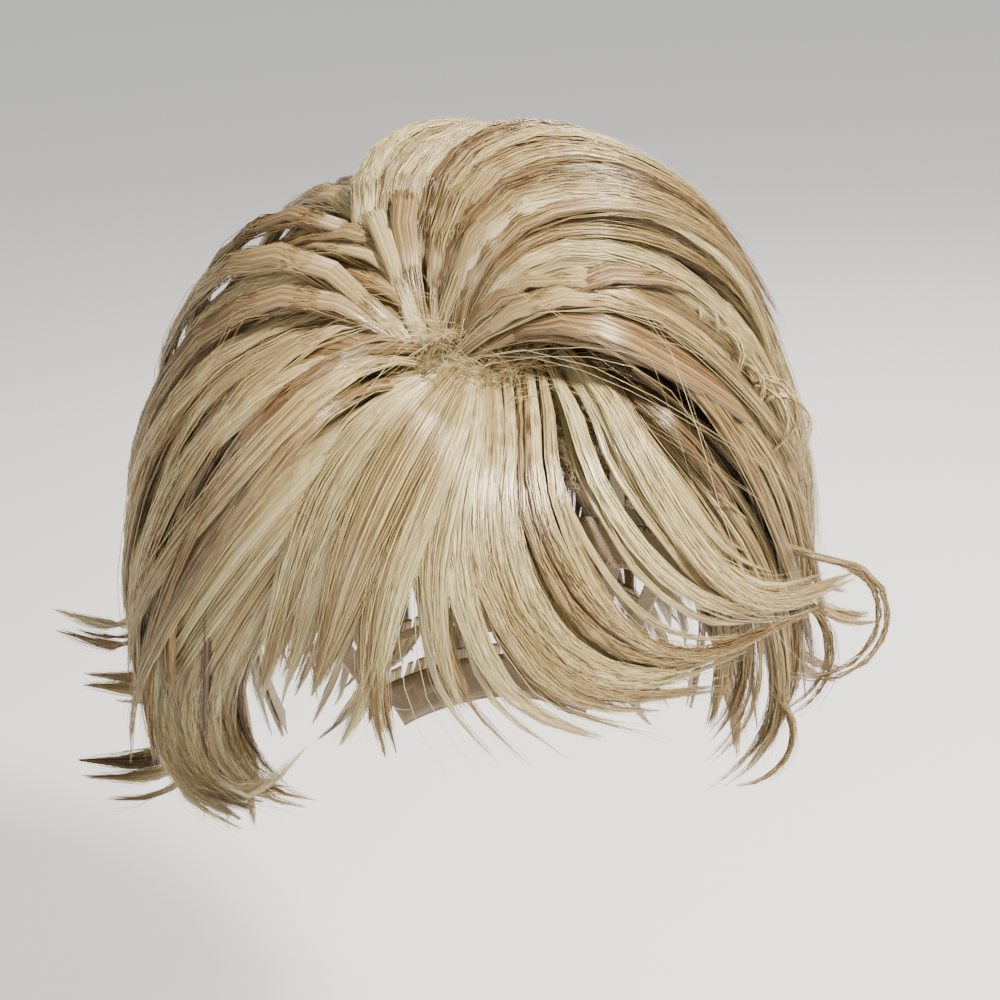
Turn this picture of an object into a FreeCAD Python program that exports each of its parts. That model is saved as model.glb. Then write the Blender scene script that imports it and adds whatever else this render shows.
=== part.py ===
import FreeCAD, Part
import os
from math import cos, degrees, radians, sin, sqrt

# A short layered costume wig. An open-wefted stretch cap (net dome, edge bands, ear tabs, elastic ribs and
# nape adjusters) carries hair that is sewn on as wefts: eight rows round the back and sides, a crown layer,
# a lifted swoop on top, a fringe, two sideburns and five flips, long outer locks that kick out from the sides.
#
# Frame: millimetres, +Z up, the face looks along -Y, +X is the wearer's left. The origin is the centre of
# the head that the cap fits, at the level of the hat line, where that head is widest.
# Longitude is 0 at the face, 90 at the wearer's left ear and 180 at the back. Latitude is 0 at the hat line
# and 90 at the top of the head. Lift is the distance out from the head.

V = FreeCAD.Vector

# --- driving dimensions: an average cap, 545 mm round the hat line ---
HEAD_HALF_WIDTH = 77.0
HEAD_HALF_LENGTH = 96.0
HEAD_HEIGHT = 108.0

LINING_LIFT, LINING_THICK = 0.2, 0.6
SHELL_LIFT, SHELL_THICK = 1.1, 0.9
TRACK_LIFT, TRACK_THICK, TRACK_WIDTH = 2.3, 1.2, 3.0
HAIR_LIFT = 4.2

BAND_WIDTH = 14.0
NAPE_BAND_WIDTH = 18.0
SIDE_BAND_WIDTH = 9.0
RIB_WIDTH = 8.0
NET_EDGE_HEIGHT = 63.5
EAR_TAB_LON = 78.0
NAPE_LAT = -46.0

ROW_LATS = (28, 18, 8, -2, -12, -22, -32, -42)
ROW_FRONT_LONS = (93, 93, 96, 113, 119, 124, 129, 132)
ROW_TIP_HEIGHTS = (-18, -26, -33, -40, -46, -51, -86, -108)
ROW_SLOPE = 0.25
ROW_THICK = 4.0

ACROSS_RADIUS = 85.0  # how a tape curves across its width

FRINGE_ROOT_Y = -47.0
FRINGE_HALF_WIDTH = 52.0
CROWN_FRONT_LON = 57.0


# --- the head form ---
def head_point(lon, lat, lift=0.0):
    """The point at this longitude and latitude, raised from the head by lift."""
    a, b = radians(lon), radians(lat)
    on_head = V(HEAD_HALF_WIDTH * cos(b) * sin(a), -HEAD_HALF_LENGTH * cos(b) * cos(a), HEAD_HEIGHT * sin(b))
    return on_head + head_normal(on_head) * lift


def head_normal(p):
    """The head's outward normal at the point of its surface nearest to p's direction."""
    n = V(p.x / HEAD_HALF_WIDTH**2, p.y / HEAD_HALF_LENGTH**2, p.z / HEAD_HEIGHT**2)
    return n.normalize()


def widest_reach(lon):
    """From the upright axis to the head at the hat line, in this direction."""
    a = radians(lon)
    return 1.0 / sqrt((sin(a) / HEAD_HALF_WIDTH) ** 2 + (cos(a) / HEAD_HALF_LENGTH) ** 2)


def outward(lon, reach, height):
    """The point at this distance from the upright axis, in plan along the head's own longitude line."""
    p = head_point(lon, 0)
    flat = V(p.x, p.y, 0).normalize()
    return flat * reach + V(0, 0, height)


def plan_angle(lon):
    """The true angle in plan of a longitude line."""
    p = head_point(lon, 0)
    return degrees(V(0, -1, 0).getAngle(V(p.x, p.y, 0))) * (1 if p.x >= 0 else -1)


# --- solids ---
def smooth(points, count):
    """count places evenly along a smooth curve through points, each given as (a, b) or (a, b, c)."""
    curve = Part.BSplineCurve()
    curve.interpolate([V(*(tuple(p) + (0.0,) * (3 - len(p)))) for p in points])
    last = curve.LastParameter
    return [curve.value(last * k / (count - 1)) for k in range(count)]


def loft(sections):
    """A closed solid through a list of rings of points."""
    return Part.makeLoft([Part.makePolygon(ring + [ring[0]]) for ring in sections], True, False)


def strip(path, width, lift, thick, stations=15):
    """A tape of this width laid on the head along a path of (longitude, latitude)."""
    places = smooth(path, stations)
    sections = []
    for k, place in enumerate(places):
        before, after = places[max(0, k - 1)], places[min(stations - 1, k + 1)]
        middle = head_point(place.x, place.y)
        out = head_normal(middle)
        along = head_point(after.x, after.y) - head_point(before.x, before.y)
        side = out.cross(along).normalize()
        drop = (width / 2) ** 2 / (2 * ACROSS_RADIUS)
        under = [(-width / 2, lift - drop), (0, lift), (width / 2, lift - drop)]
        over = [(a, b + thick) for a, b in reversed(under)]
        sections.append([middle + side * a + out * b for a, b in under + over])
    return loft(sections)


def lock(path, widths, thicks, stations=12):
    """A flat tapering lock of hair through points (x, y, z), lying along the head's surface."""
    places = smooth(path, stations)
    sections = []
    for k, middle in enumerate(places):
        share = k / (stations - 1)
        along = places[min(stations - 1, k + 1)] - places[max(0, k - 1)]
        side = head_normal(middle).cross(along).normalize()
        out = along.cross(side).normalize()
        w, t = between(widths, share) / 2, between(thicks, share) / 2
        ring = [(-w, 0), (-w * 0.5, -t), (w * 0.5, -t), (w, 0), (w * 0.5, t), (-w * 0.5, t)]
        sections.append([middle + side * a + out * b for a, b in ring])
    return loft(sections)


def between(values, share):
    """The value at a share from 0 to 1 along evenly spaced values."""
    at = share * (len(values) - 1)
    low = min(int(at), len(values) - 2)
    return values[low] + (values[low + 1] - values[low]) * (at - low)


def mirrored(path):
    """A path of (longitude, latitude) on the other side of the head."""
    return [(-lon, lat) for lon, lat in path]


def ellipsoid(lift):
    """The head form, grown by lift."""
    grow = FreeCAD.Matrix()
    grow.scale(HEAD_HALF_WIDTH + lift, HEAD_HALF_LENGTH + lift, HEAD_HEIGHT + lift)
    return Part.makeSphere(1.0).transformGeometry(grow)


nodes = {}


# --- the cap: a net dome closed over the top, with a skin-coloured patch where the hair parts ---
def net_dome(lift, thick, lowest):
    """A shell over the top of the head, cut off level at a height."""
    keep = Part.makeBox(400, 400, 200, V(-200, -200, lowest))
    return ellipsoid(lift + thick).cut(ellipsoid(lift)).common(keep)


nodes["crown_net"] = net_dome(SHELL_LIFT, SHELL_THICK, NET_EDGE_HEIGHT)

PARTING_RADIUS, PARTING_Y, PARTING_THICK = 17.0, -29.0, 0.8
parting_post = Part.makeCylinder(PARTING_RADIUS, 60, V(0, PARTING_Y, 75))
parting_shell = ellipsoid(TRACK_LIFT + PARTING_THICK).cut(ellipsoid(TRACK_LIFT))
nodes["parting_patch"] = parting_shell.common(parting_post)

# The front band follows the hairline and dips to the temples. Its lining is a soft strip inside it.
FRONT_BAND = [(-70, 8), (-52, 20), (-28, 29), (0, 29), (28, 29), (52, 20), (70, 8)]
nodes["front_band"] = strip(FRONT_BAND, BAND_WIDTH, SHELL_LIFT, SHELL_THICK, 21)
nodes["front_lining"] = strip(FRONT_BAND, BAND_WIDTH - 2, LINING_LIFT, LINING_THICK, 21)

# Side bands run over each ear and down behind it to the nape.
SIDE_BAND = [(88, 10), (98, 8), (110, -1), (119, -14), (125, -28), (129, -38)]
# Ear tabs hang in front of the ears. Each has a lining, and between them a flat stay that bends and holds.
EAR_TAB = [(EAR_TAB_LON, 3), (EAR_TAB_LON, -8), (EAR_TAB_LON, -21)]
EAR_STAY = [(EAR_TAB_LON, 0), (EAR_TAB_LON, -9), (EAR_TAB_LON, -18)]
EAR_TAB_WIDTH, EAR_STAY_WIDTH, EAR_STAY_THICK = 15.0, 4.0, 0.5

# Elastic ribs tie the rows together from the net's edge down to the nape band.
RIBS = {
    "rib_outer": [(133, 33), (135, 10), (137, -10), (139, -36)],
    "rib_inner": [(157, 33), (158, 10), (158, -10), (159, -36)],
}

for side, flip in (("left", False), ("right", True)):
    def lay(path):
        return mirrored(path) if flip else path

    nodes["side_band_" + side] = strip(lay(SIDE_BAND), SIDE_BAND_WIDTH, SHELL_LIFT, SHELL_THICK)
    nodes["ear_tab_" + side] = strip(lay(EAR_TAB), EAR_TAB_WIDTH, SHELL_LIFT + 0.3, SHELL_THICK, 9)
    nodes["ear_lining_" + side] = strip(lay(EAR_TAB), EAR_TAB_WIDTH - 1, LINING_LIFT - 0.3, 0.5, 9)
    nodes["ear_stay_" + side] = strip(lay(EAR_STAY), EAR_STAY_WIDTH, LINING_LIFT + 0.4, EAR_STAY_THICK, 7)
    for name, path in RIBS.items():
        nodes[name + "_" + side] = strip(lay(path), RIB_WIDTH, SHELL_LIFT, SHELL_THICK)
nodes["rib_centre"] = strip([(180, 33), (180, 10), (180, -12), (180, -36)], RIB_WIDTH, SHELL_LIFT, SHELL_THICK)

NAPE_BAND = [(134, NAPE_LAT + 1), (157, NAPE_LAT), (180, NAPE_LAT), (203, NAPE_LAT), (226, NAPE_LAT + 1)]
nodes["nape_band"] = strip(NAPE_BAND, NAPE_BAND_WIDTH, SHELL_LIFT, SHELL_THICK)
nodes["nape_lining"] = strip(NAPE_BAND, NAPE_BAND_WIDTH - 2, LINING_LIFT, LINING_THICK)


# --- weft tracks: the stitched headers that the rows of hair hang from ---
for number, (lat, front) in enumerate(zip(ROW_LATS, ROW_FRONT_LONS), 1):
    path = [(front + (360 - 2 * front) * share / 8, lat) for share in range(9)]
    nodes[f"weft_track_{number}"] = strip(path, TRACK_WIDTH, TRACK_LIFT, TRACK_THICK, 25)
FRINGE_TRACK = [(-52, 50), (-30, 56), (0, 58), (30, 56), (52, 50)]
nodes["fringe_track"] = strip(FRINGE_TRACK, TRACK_WIDTH, TRACK_LIFT, TRACK_THICK)


# --- rows of hair round the back and sides, lying like shingles, each outside the row below ---
DRAPE = 260.0


def hang_reach(lon, root, height):
    """How far from the axis hair from this root hangs: along the head, then straight down below it."""
    widest = widest_reach(plan_angle(lon))
    head = widest * sqrt(max(0.0, 1 - (height / HEAD_HEIGHT) ** 2))
    below = head if height >= 0 else widest * (1 - (height / DRAPE) ** 2)
    leaving = min(1.0, (root - height) / 15.0)
    return head + (below - head) * leaving


def hair_row(lat, front, tip, flip):
    """One curtain of hair from its track down to its tips, which turn out a little."""
    root = HEAD_HEIGHT * sin(radians(lat))
    sections = []
    for share in range(15):
        lon = front + (360 - 2 * front) * share / 14
        inner, outer = [], []
        for step in range(7):
            down = step / 6
            height = root - 1.0 + (tip - root) * down
            turn = flip * max(0.0, (down - 0.6) / 0.4) ** 2
            reach = hang_reach(lon, root, height) + HAIR_LIFT + ROW_SLOPE * (root - height) + turn
            thick = min(ROW_THICK, 1.5 + (ROW_THICK - 1.5) * (root - height) / 12.0)
            inner.append(outward(lon, reach, height))
            outer.append(outward(lon, reach + thick, height))
        sections.append(inner + outer[::-1])
    return loft(sections)


for number, (lat, front, tip) in enumerate(zip(ROW_LATS, ROW_FRONT_LONS, ROW_TIP_HEIGHTS), 1):
    nodes[f"hair_row_{number}"] = hair_row(lat, front, tip, 1.0 if number < 7 else 8.0)


# --- crown hair: it stands on the net and falls over the upper rows ---
CROWN_INNER = [(78, 3.8), (60, 3.8), (42, 3.8), (33, 7.5), (20, 13.5), (9, 18.5)]
CROWN_OUTER = [(5, 36), (20, 40), (40, 38), (60, 30), (78, 17)]


def above(lon, lat, lift):
    """The point raised by lift from the head's outline in the upright plane of this longitude."""
    widest = widest_reach(plan_angle(lon))
    b = radians(lat)
    slope_out, slope_up = cos(b) / widest, sin(b) / HEAD_HEIGHT
    share = lift / sqrt(slope_out**2 + slope_up**2)
    return outward(lon, widest * cos(b) + slope_out * share, HEAD_HEIGHT * sin(b) + slope_up * share)


def crown_part(first, last):
    """The crown hair between two longitudes."""
    sections = []
    for share in range(8):
        lon = first + (last - first) * share / 7
        sections.append([above(lon, lat, lift) for lat, lift in CROWN_INNER + CROWN_OUTER])
    return loft(sections)


nodes["crown_hair_left"] = crown_part(CROWN_FRONT_LON, 124)
nodes["crown_hair_back"] = crown_part(125, 235)
nodes["crown_hair_right"] = crown_part(236, 360 - CROWN_FRONT_LON)


# --- the swoop: locks lifted from the parting, back and over to the wearer's left ---
nodes["swoop_front"] = lock(
    [(2, -42, 106), (8, -42, 126), (26, -38, 141), (58, -28, 138), (88, -18, 116), (104, -10, 80)],
    (7, 16, 24, 22, 14, 3), (4, 6, 7, 6, 5, 2))
nodes["swoop_middle"] = lock(
    [(-3, -37, 108), (-3, -32, 128), (8, -14, 150), (38, -2, 157), (78, 10, 134), (108, 20, 92)],
    (7, 18, 28, 26, 16, 3), (4, 6, 7, 6, 5, 2))
nodes["swoop_back"] = lock(
    [(-10, -33, 109), (-22, -26, 126), (-24, -6, 148), (-10, 22, 156), (10, 54, 146), (26, 90, 116)],
    (7, 14, 24, 24, 16, 3), (4, 6, 7, 6, 5, 2))


# --- the fringe: it falls from the parting over the front band to the brows, and lifts on its root line ---
def fringe_part(first, last, tip, sweep):
    """The fringe between two distances from the middle of the face, down to a tip height."""
    sections = []
    for share in range(6):
        x = first + (last - first) * share / 5
        slim = sqrt(1 - (x / (HEAD_HALF_WIDTH + 3)) ** 2)
        inner, outer = [], []
        for step in range(9):
            down = step / 8
            top = radians(60.0 - 60.0 * min(1.0, down / 0.6))
            below = max(0.0, (down - 0.6) / 0.4) * -tip
            for points, lift in ((inner, 4.6 + 5 * down), (outer, 7.0 + 9 * down)):
                y = -(HEAD_HALF_LENGTH * slim + lift) * cos(top)
                z = (HEAD_HEIGHT * slim + lift) * sin(top) - below
                points.append(V(x + sweep * (1 - z / HEAD_HEIGHT), min(y, FRINGE_ROOT_Y), z))
        sections.append(inner + outer[::-1])
    return loft(sections)


nodes["fringe_right"] = fringe_part(-FRINGE_HALF_WIDTH, -17.5, -28, -6)
nodes["fringe_centre"] = fringe_part(-17, 17, -14, 0)
nodes["fringe_left"] = fringe_part(17.5, FRINGE_HALF_WIDTH, -20, 10)


# --- sideburns: hair on each ear tab, hanging in front of the ear ---
def sideburn(first, last, tip):
    """The hair of one ear tab, between two longitudes."""
    sections = []
    for share in range(7):
        lon = first + (last - first) * share / 6
        inner, outer = [], []
        for step in range(7):
            down = step / 6
            height = 3.0 + (tip - 3.0) * down
            reach = hang_reach(lon, 3.0, height) + 3.9 + 3.0 * down
            inner.append(outward(lon, reach, height))
            outer.append(outward(lon, reach + 3.0 + 9.0 * down, height))
        sections.append(inner + outer[::-1])
    return loft(sections)


nodes["sideburn_left"] = sideburn(66, 88, -78)
nodes["sideburn_right"] = sideburn(-66, -88, -78)


# --- flips: long outer locks that kick out from the sides ---
FLIPS = {
    "flip_left_upper": [(108, 12, 4), (116, 9, -8), (128, 5, -16), (139, 2, -15)],
    "flip_left_lower": [(106, 26, -24), (110, 24, -40), (119, 20, -52), (131, 17, -55)],
    "flip_right_upper": [(-108, 14, 3), (-118, 12, -9), (-134, 12, -14), (-155, 14, -7)],
    "flip_right_middle": [(-106, 24, -20), (-111, 22, -34), (-126, 18, -42), (-149, 16, -38)],
    "flip_right_lower": [(-101, 8, -44), (-108, 4, -60), (-126, -2, -68), (-150, -8, -62)],
}
for name, path in FLIPS.items():
    nodes[name] = lock(path, (5, 10, 8, 2), (2, 4, 3, 1.5))


# --- nape adjusters: an elastic strap with a flat hook, and loops on a tape that the hook slides under ---
HOOK_LON, HOOK_LAT, HOOK_CLEAR = 153.0, NAPE_LAT, 3.9
FRAME_LENGTH, FRAME_WIDTH, FRAME_BAR = 5.0, 9.0, 1.4
FRAME_START = -13.5
BLADE_LENGTH, BLADE_WIDTH, BLADE_THICK = 12.0, 2.6, 0.6
LOOP_COUNT, LOOP_PITCH, LOOP_LENGTH, LOOP_THICK = 3, 5.0, 2.0, 0.6
TAPE_THICK, TAPE_MARGIN, TAPE_GAP = 0.5, 1.5, 0.4
LOOP_ROOM = 1.4


def placed(shape, side):
    """A shape drawn flat, along X towards the middle of the back and out along Z, put on the nape's inside."""
    spot = head_point(HOOK_LON, HOOK_LAT, -HOOK_CLEAR)
    out = head_normal(spot)
    along = (head_point(HOOK_LON + 4, HOOK_LAT) - head_point(HOOK_LON - 4, HOOK_LAT)).normalize()
    up = out.cross(along).normalize()
    along = up.cross(out).normalize()
    frame = FreeCAD.Matrix(
        along.x, up.x, out.x, spot.x, along.y, up.y, out.y, spot.y, along.z, up.z, out.z, spot.z, 0, 0, 0, 1)
    made = shape.copy()
    made.transformShape(frame)
    return made if side == "left" else made.mirror(V(0, 0, 0), V(1, 0, 0))


def block(length, width, thick, x, z):
    """A box centred across the strap, from x on and from z up."""
    return Part.makeBox(length, width, thick, V(x, -width / 2, z))


def hook():
    """A flat buckle frame for the strap, with a blade that goes under the loops."""
    frame = block(FRAME_LENGTH, FRAME_WIDTH, BLADE_THICK, FRAME_START, 0)
    window = block(FRAME_LENGTH - 2 * FRAME_BAR, FRAME_WIDTH - 2 * FRAME_BAR, 3 * BLADE_THICK,
                   FRAME_START + FRAME_BAR, -BLADE_THICK)
    blade = block(BLADE_LENGTH, BLADE_WIDTH, BLADE_THICK, FRAME_START + FRAME_LENGTH - FRAME_BAR / 2, 0)
    return frame.cut(window).fuse(blade).removeSplitter()


def hook_loops():
    """A tape with a row of raised loops, open along the strap so that the blade can pass."""
    base = BLADE_THICK + TAPE_GAP
    tape_length = (LOOP_COUNT - 1) * LOOP_PITCH + LOOP_LENGTH + 2 * TAPE_MARGIN
    tape = block(tape_length, FRAME_WIDTH, TAPE_THICK, -TAPE_MARGIN, base)
    for number in range(LOOP_COUNT):
        x = number * LOOP_PITCH
        arch = block(LOOP_LENGTH, BLADE_WIDTH + 2 * LOOP_THICK + 1, LOOP_ROOM + LOOP_THICK, x,
                     base - LOOP_ROOM - LOOP_THICK)
        room = block(3 * LOOP_LENGTH, BLADE_WIDTH + 1, LOOP_ROOM, x - LOOP_LENGTH, base - LOOP_ROOM)
        tape = tape.fuse(arch.cut(room))
    return tape.removeSplitter()


STRAP = [(124, -36), (129, -41), (134, -45), (138, HOOK_LAT)]
STRAP_WIDTH, STRAP_THICK = 6.0, 0.8
for side in ("left", "right"):
    nodes["adjuster_hook_" + side] = placed(hook(), side)
    nodes["adjuster_loops_" + side] = placed(hook_loops(), side)
    path = STRAP if side == "left" else mirrored(STRAP)
    nodes["adjuster_strap_" + side] = strip(path, STRAP_WIDTH, -HOOK_CLEAR, STRAP_THICK, 9)


# --- write one file per node ---
os.makedirs("parts", exist_ok=True)
for name, shape in nodes.items():
    problem = "" if shape.isValid() and shape.Volume > 0 else "  NOT A GOOD SOLID"
    print(f"{name:22s} {len(shape.Solids)} solid(s) {shape.Volume:10.1f} mm3{problem}")
    shape.exportStep(f"parts/{name}.step")
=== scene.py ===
import random
from math import asin, atan2, cos, degrees, pi, radians, sin, sqrt

import bpy
from mathutils import Matrix, Vector


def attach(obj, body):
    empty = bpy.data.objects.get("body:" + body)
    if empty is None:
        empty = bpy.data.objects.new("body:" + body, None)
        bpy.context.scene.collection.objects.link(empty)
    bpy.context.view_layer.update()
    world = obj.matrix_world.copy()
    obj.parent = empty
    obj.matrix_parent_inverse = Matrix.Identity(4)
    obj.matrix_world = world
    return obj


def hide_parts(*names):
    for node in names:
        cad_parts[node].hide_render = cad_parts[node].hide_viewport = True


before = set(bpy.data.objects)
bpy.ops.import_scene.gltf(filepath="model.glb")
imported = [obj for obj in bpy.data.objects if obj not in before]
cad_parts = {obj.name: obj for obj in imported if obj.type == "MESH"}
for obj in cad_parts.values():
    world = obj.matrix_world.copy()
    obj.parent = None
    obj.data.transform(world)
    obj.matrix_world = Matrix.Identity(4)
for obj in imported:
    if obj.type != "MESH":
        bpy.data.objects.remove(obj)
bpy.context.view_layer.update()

# Sizes are in metres unless they are marked MM. The face looks along -Y, +X is the wearer's left and the
# origin is the middle of the head at the hat line.
MM = 0.001

# --- The studio ---
# A pale floor well under the wig, a warm main light from the wearer's upper left, a weak fill from the other
# side and a rim light from behind. The surround lights the hair weakly and is seen as pale.
FLOOR_HEIGHT, FLOOR_SIZE = -0.36, 30
SURROUND_LIGHT, SURROUND_SEEN = 0.18, 1.9
bpy.ops.mesh.primitive_plane_add(size=FLOOR_SIZE, location=(0, 0, FLOOR_HEIGHT))
floor = bpy.context.object
floor.name = "floor"
floor_paint = bpy.data.materials.new("pale_floor")
floor_paint.use_nodes = True
paint = floor_paint.node_tree.nodes["Principled BSDF"]
paint.inputs["Base Color"].default_value = (0.80, 0.80, 0.79, 1)
paint.inputs["Roughness"].default_value = 0.9
paint.inputs["Emission Color"].default_value = (1, 0.99, 0.97, 1)
paint.inputs["Emission Strength"].default_value = 0.5
floor.data.materials.append(floor_paint)

world = bpy.data.worlds.new("studio")
bpy.context.scene.world = world
world.use_nodes = True
surround = world.node_tree.nodes["Background"]
surround.inputs["Color"].default_value = (0.95, 0.97, 1.0, 1)
sight = world.node_tree.nodes.new("ShaderNodeLightPath")
level = world.node_tree.nodes.new("ShaderNodeMapRange")
level.inputs["To Min"].default_value, level.inputs["To Max"].default_value = SURROUND_LIGHT, SURROUND_SEEN
world.node_tree.links.new(sight.outputs["Is Camera Ray"], level.inputs["Value"])
world.node_tree.links.new(level.outputs["Result"], surround.inputs["Strength"])

LOOK_AT = Vector((0.0115, -0.040, 0.0512))
for name, place, size, watts, colour in (
    ("main_light", (0.95, -0.55, 1.0), 0.25, 72, (1.0, 0.92, 0.77)),
    ("fill_light", (-1.0, -1.0, 0.50), 0.8, 12, (1.0, 0.97, 0.90)),
    ("rim_light", (0.35, 1.0, 0.9), 0.5, 20, (1.0, 0.94, 0.84)),
):
    lamp = bpy.data.lights.new(name, "AREA")
    lamp.shape, lamp.size, lamp.energy, lamp.color = "DISK", size, watts, colour
    light = bpy.data.objects.new(name, lamp)
    light.location = place
    light.rotation_euler = (LOOK_AT - Vector(place)).to_track_quat("-Z", "Y").to_euler()
    bpy.context.collection.objects.link(light)

# The camera stands close, a little above the wearer's forehead, and leans a few degrees.
AZIMUTH, ELEVATION, LEAN, DISTANCE = radians(1.5), radians(25), radians(4.8), 0.466
back = Vector((sin(AZIMUTH) * cos(ELEVATION), -cos(AZIMUTH) * cos(ELEVATION), sin(ELEVATION)))
lens = bpy.data.cameras.new("camera")
lens.lens, lens.sensor_width, lens.clip_start = 54, 36, 0.01
camera = bpy.data.objects.new("camera", lens)
camera.matrix_world = (
    Matrix.Translation(LOOK_AT + back * DISTANCE)
    @ (back.to_track_quat("Z", "Y").to_matrix() @ Matrix.Rotation(-LEAN, 3, "Z")).to_4x4())
bpy.context.collection.objects.link(camera)
bpy.context.scene.camera = camera


# --- The cap's bands, tabs and ribs ---
# Stretch strips woven from polyester and elastane, cut to length and joined into an open cap. They fit a head
# 545 mm round. Linings of soft velour lie inside the front band, the nape band and the ear tabs.
HEAD = Vector((77, 96, 108))  # half width, half length and height over the hat line, in MM
DRAPE = 260  # below the hat line hair hangs nearly straight, as on a head this much taller


def out_from_head(p):
    """The direction straight out of the head at a point in MM."""
    height = HEAD.z if p.z > 0 else DRAPE
    return Vector((p.x / HEAD.x**2, p.y / HEAD.y**2, p.z / height**2)).normalized()


def on_head(lon, lat, lift):
    """A point in MM. Longitude is 0 at the face and 90 at the left ear, and latitude is 0 at the hat line."""
    a, b = radians(lon), radians(lat)
    z = HEAD.z * (sin(b) if lat > 0 else b)
    round_here = cos(b) if lat > 0 else sqrt(max(0.05, 1 - (z / DRAPE) ** 2))
    p = Vector((HEAD.x * sin(a) * round_here, -HEAD.y * cos(a) * round_here, z))
    return p + out_from_head(p) * lift


def evenly(points, count):
    """count points evenly spaced along a smooth curve through points."""
    ends = [points[0] * 2 - points[1]] + list(points) + [points[-1] * 2 - points[-2]]
    fine = []
    for a, b, c, d in zip(ends, ends[1:], ends[2:], ends[3:]):
        for step in range(12):
            t = step / 12
            fine.append(0.5 * (2 * b + (c - a) * t + (2 * a - 5 * b + 4 * c - d) * t * t
                               + (3 * b - a - 3 * c + d) * t**3))
    fine.append(points[-1])
    run = [0.0]
    for p, q in zip(fine, fine[1:]):
        run.append(run[-1] + (q - p).length)
    found, k = [], 0
    for step in range(count):
        want = run[-1] * step / (count - 1)
        while k < len(run) - 2 and run[k + 1] < want:
            k += 1
        share = (want - run[k]) / max(run[k + 1] - run[k], 1e-9)
        found.append(fine[k].lerp(fine[k + 1], min(1.0, share)))
    return found


def on_cap(lon, lat, lift=0.0):
    """A point in MM on the head form itself, which rounds in again below the hat line."""
    a, b = radians(lon), radians(lat)
    p = Vector((HEAD.x * cos(b) * sin(a), -HEAD.y * cos(b) * cos(a), HEAD.z * sin(b)))
    return p + Vector((p.x / HEAD.x**2, p.y / HEAD.y**2, p.z / HEAD.z**2)).normalized() * lift


def add(tree, kind, **values):
    """A node of this kind. Sockets are set or linked by name or _number, and set_ values are its settings."""
    node = tree.nodes.new(kind)
    for key, value in values.items():
        if key.startswith("set_"):
            setattr(node, key[4:], value)
    for key, value in values.items():
        if key.startswith("set_"):
            continue
        socket = node.inputs[int(key[1:])] if key[0] == "_" else node.inputs[key]
        if isinstance(value, bpy.types.NodeSocket):
            tree.links.new(value, socket)
        else:
            socket.default_value = value
    return node


def new_finish(name):
    """A new material, with its node tree and its shader."""
    finish = bpy.data.materials.new(name)
    finish.use_nodes = True
    return finish, finish.node_tree, finish.node_tree.nodes["Principled BSDF"]


def new_object(name, mesh, smooth=True):
    """An object at the origin that holds a mesh, shaded smooth where the real surface is."""
    if smooth:
        for face in mesh.polygons:
            face.use_smooth = True
    made = bpy.data.objects.new(name, mesh)
    bpy.context.collection.objects.link(made)
    return made


def weave_group():
    """A group that gives the height of a plain weave and a colour mix, from a place in metres and a thread
    pitch. The mix is painted shade where the threads dip, over uneven fibre tone.
    """
    group = bpy.data.node_groups.new("plain_weave", "ShaderNodeTree")
    group.interface.new_socket("Place", in_out="INPUT", socket_type="NodeSocketVector")
    group.interface.new_socket("Pitch", in_out="INPUT", socket_type="NodeSocketFloat")
    for label in ("Height", "Shade"):
        group.interface.new_socket(label, in_out="OUTPUT", socket_type="NodeSocketFloat")
    given = group.nodes.new("NodeGroupInput").outputs
    turns = add(group, "ShaderNodeMath", set_operation="DIVIDE", _0=2 * pi, _1=given["Pitch"]).outputs[0]
    place = add(group, "ShaderNodeVectorMath", set_operation="SCALE", Vector=given["Place"], Scale=turns)
    axes = add(group, "ShaderNodeSeparateXYZ", Vector=place.outputs[0]).outputs
    waves = [add(group, "ShaderNodeMath", set_operation="SINE", _0=axis).outputs[0] for axis in axes]
    cross = add(group, "ShaderNodeMath", set_operation="MULTIPLY", _0=waves[0], _1=add(
        group, "ShaderNodeMath", set_operation="ADD", _0=waves[1], _1=waves[2]).outputs[0]).outputs[0]
    height = add(group, "ShaderNodeMapRange", Value=cross, _1=-1.0, _2=1.0).outputs[0]
    fibre = add(group, "ShaderNodeTexNoise", Vector=given["Place"], Scale=900.0, Detail=3.0).outputs[0]
    worn = add(group, "ShaderNodeTexNoise", Vector=given["Place"], Scale=45.0, Detail=4.0).outputs[0]
    uneven = add(group, "ShaderNodeMath", set_operation="MULTIPLY", _0=fibre, _1=worn).outputs[0]
    # Painted shade: the weave's low places take the dark end of the mix, and the fibre noise adds uneven
    # tone.
    shade = add(group, "ShaderNodeMath", set_operation="MULTIPLY_ADD", _0=height, _1=0.45, _2=uneven)
    result = group.nodes.new("NodeGroupOutput")
    group.links.new(height, result.inputs["Height"])
    group.links.new(shade.outputs[0], result.inputs["Shade"])
    return group


plain_weave = weave_group()


def cloth_finish(name, dark, pale, pitch, laid=True, roughness=0.85, sheen=0.2, depth=0.00012):
    """Woven or knitted cloth. The weave follows the strip where it is laid, and else the object."""
    finish, tree, shader = new_finish(name)
    if laid:
        place = add(tree, "ShaderNodeAttribute", set_attribute_name="laid").outputs["Vector"]
    else:
        place = add(tree, "ShaderNodeTexCoord").outputs["Object"]
    weave = tree.nodes.new("ShaderNodeGroup")
    weave.node_tree = plain_weave
    weave.inputs["Pitch"].default_value = pitch
    tree.links.new(place, weave.inputs["Place"])
    # The cloth is darker where the weave dips, which is painted shade between the threads, with uneven fibre
    # tone over it.
    colour = add(tree, "ShaderNodeMix", set_data_type="RGBA", _0=weave.outputs["Shade"],
                 _6=(*dark, 1), _7=(*pale, 1))
    tree.links.new(colour.outputs[2], shader.inputs["Base Color"])
    bump = add(tree, "ShaderNodeBump", Strength=0.8, Distance=depth, Height=weave.outputs["Height"])
    tree.links.new(bump.outputs["Normal"], shader.inputs["Normal"])
    shader.inputs["Roughness"].default_value = roughness
    shader.inputs["Sheen Weight"].default_value = sheen
    return finish


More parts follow.
